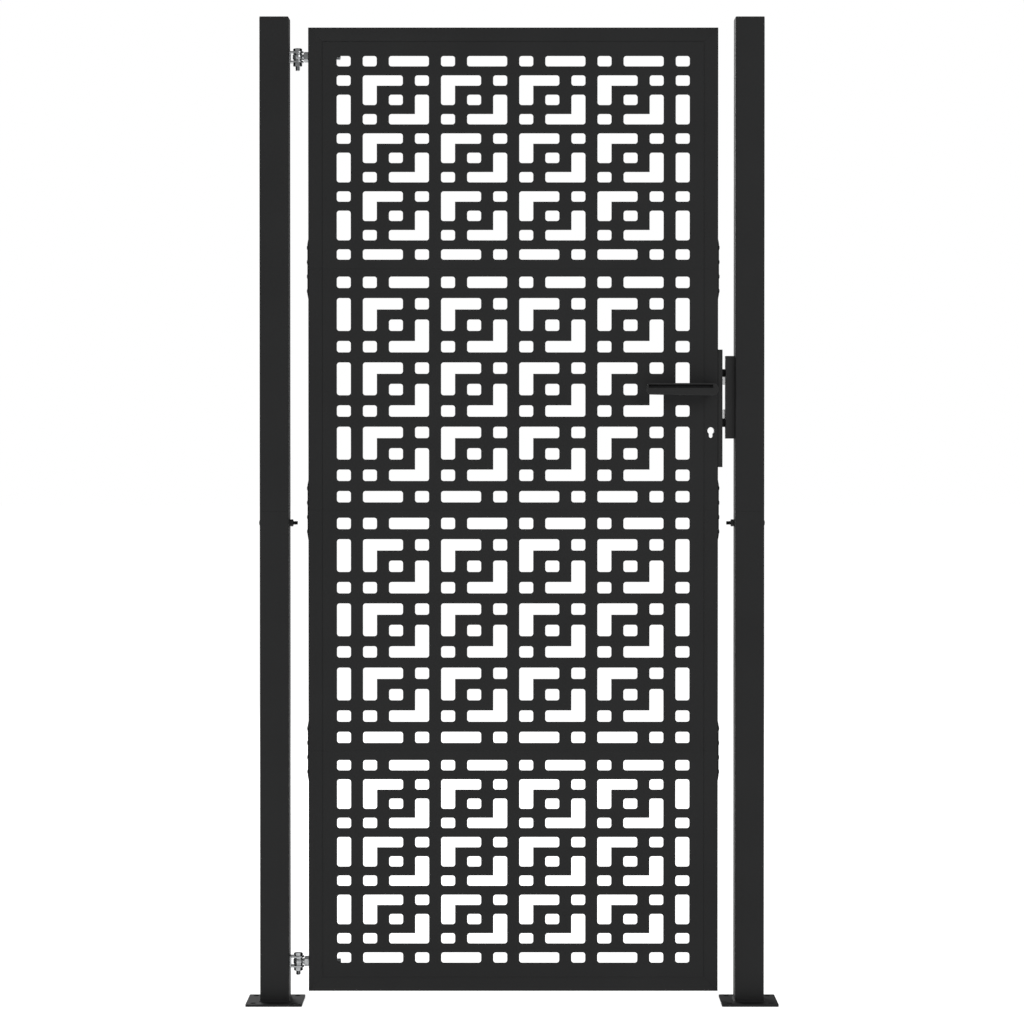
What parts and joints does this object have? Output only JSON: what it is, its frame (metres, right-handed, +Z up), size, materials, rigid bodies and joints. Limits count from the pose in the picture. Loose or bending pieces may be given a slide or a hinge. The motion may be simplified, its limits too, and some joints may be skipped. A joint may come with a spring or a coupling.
{
  "type": "garden gate",
  "caption": "Tall narrow garden gate: a pierced lattice leaf of bolted sections on eye-bolt hinges between flanged posts, with lever lock and keep.",
  "frame": {"origin": "on the ground, midway between the outer edges of the two base plates and midway between their front and back edges", "axes": "+Z up, +X from the hinge post to the latch post, -Y the front, towards which the leaf opens"},
  "size_m": [1.102, 0.117, 2.046],
  "materials": {
    "anthracite_coating": "matt, fine powder coating in anthracite grey",
    "black_coating": "satin black coating",
    "black_plastic": "matt black moulding",
    "zinc_hardware": "bright zinc plating",
    "bright_steel": "brushed, bright",
    "plain_steel": "plain galvanised sheet"
  },
  "bodies": {
    "posts": {"hinge_post_base_plate": "anthracite_coating", "hinge_post_lower": "anthracite_coating", "hinge_post_sleeve": "plain_steel", "hinge_post_upper": "anthracite_coating", "hinge_post_cap": "black_plastic", "latch_post_base_plate": "anthracite_coating", "latch_post_lower": "anthracite_coating", "latch_post_sleeve": "plain_steel", "latch_post_upper": "anthracite_coating", "latch_post_cap": "black_plastic", "post_joint_bolts": "black_coating", "post_joint_nuts": "black_coating", "hinge_bracket_top": "zinc_hardware", "hinge_bracket_bottom": "zinc_hardware", "hinge_pin_top": "zinc_hardware", "hinge_pin_bottom": "zinc_hardware", "hinge_pin_nuts": "zinc_hardware", "hinge_spacers": "zinc_hardware", "keep": "black_coating", "keep_screws": "bright_steel"},
    "leaf": {"panel_1": "anthracite_coating", "panel_2": "anthracite_coating", "panel_3": "anthracite_coating", "panel_4": "anthracite_coating", "hinge_stile_1": "anthracite_coating", "hinge_stile_2": "anthracite_coating", "hinge_stile_3": "anthracite_coating", "hinge_stile_4": "anthracite_coating", "latch_stile_1": "anthracite_coating", "latch_stile_2": "anthracite_coating", "latch_stile_3": "anthracite_coating", "latch_stile_4": "anthracite_coating", "top_rail": "anthracite_coating", "bottom_rail": "anthracite_coating", "crossbar_1_lower": "anthracite_coating", "crossbar_2_upper": "anthracite_coating", "crossbar_2_lower": "anthracite_coating", "crossbar_3_upper": "anthracite_coating", "crossbar_3_lower": "anthracite_coating", "crossbar_4_upper": "anthracite_coating", "joint_plates_hinge_side": "anthracite_coating", "joint_plates_latch_side": "anthracite_coating", "joint_bolts_hinge_side": "anthracite_coating", "joint_bolts_latch_side": "anthracite_coating", "nut_bars_hinge_side": "plain_steel", "nut_bars_latch_side": "plain_steel", "eye_bolt_top": "zinc_hardware", "eye_bolt_bottom": "zinc_hardware", "eye_bolt_nuts": "zinc_hardware", "lock_case": "plain_steel", "lock_faceplate": "black_coating", "lock_screws": "bright_steel", "latch_spring": "bright_steel"},
    "handle": {"lever_front": "black_coating", "lever_back": "black_coating", "spindle": "bright_steel", "follower": "plain_steel"},
    "latch": {"latch_bolt": "bright_steel"},
    "dead_bolt": {"dead_bolt": "bright_steel"}
  },
  "joints": [
    {"name": "leaf_swing", "type": "hinge", "parent": "posts", "child": "leaf", "pos_m": [-0.445, 0, 1.025], "axis": [0, 0, -1], "range_deg": [0, 90]},
    {"name": "handle_turn", "type": "hinge", "parent": "leaf", "child": "handle", "pos_m": [0.413, 0, 1.275], "axis": [0, -1, 0], "range_deg": [0, 40]},
    {"name": "latch_slide", "type": "slide", "parent": "leaf", "child": "latch", "axis": [-1, 0, 0], "range_m": [0, 0.0096], "deforming": ["latch_spring"]},
    {"name": "dead_bolt_slide", "type": "slide", "parent": "leaf", "child": "dead_bolt", "axis": [1, 0, 0], "range_m": [-0.0058, 0.0142]}
  ],
  "couplings": [
    {"joint": "latch_slide", "follows": "handle_turn", "m_per_rad": 0.013751}
  ]
}
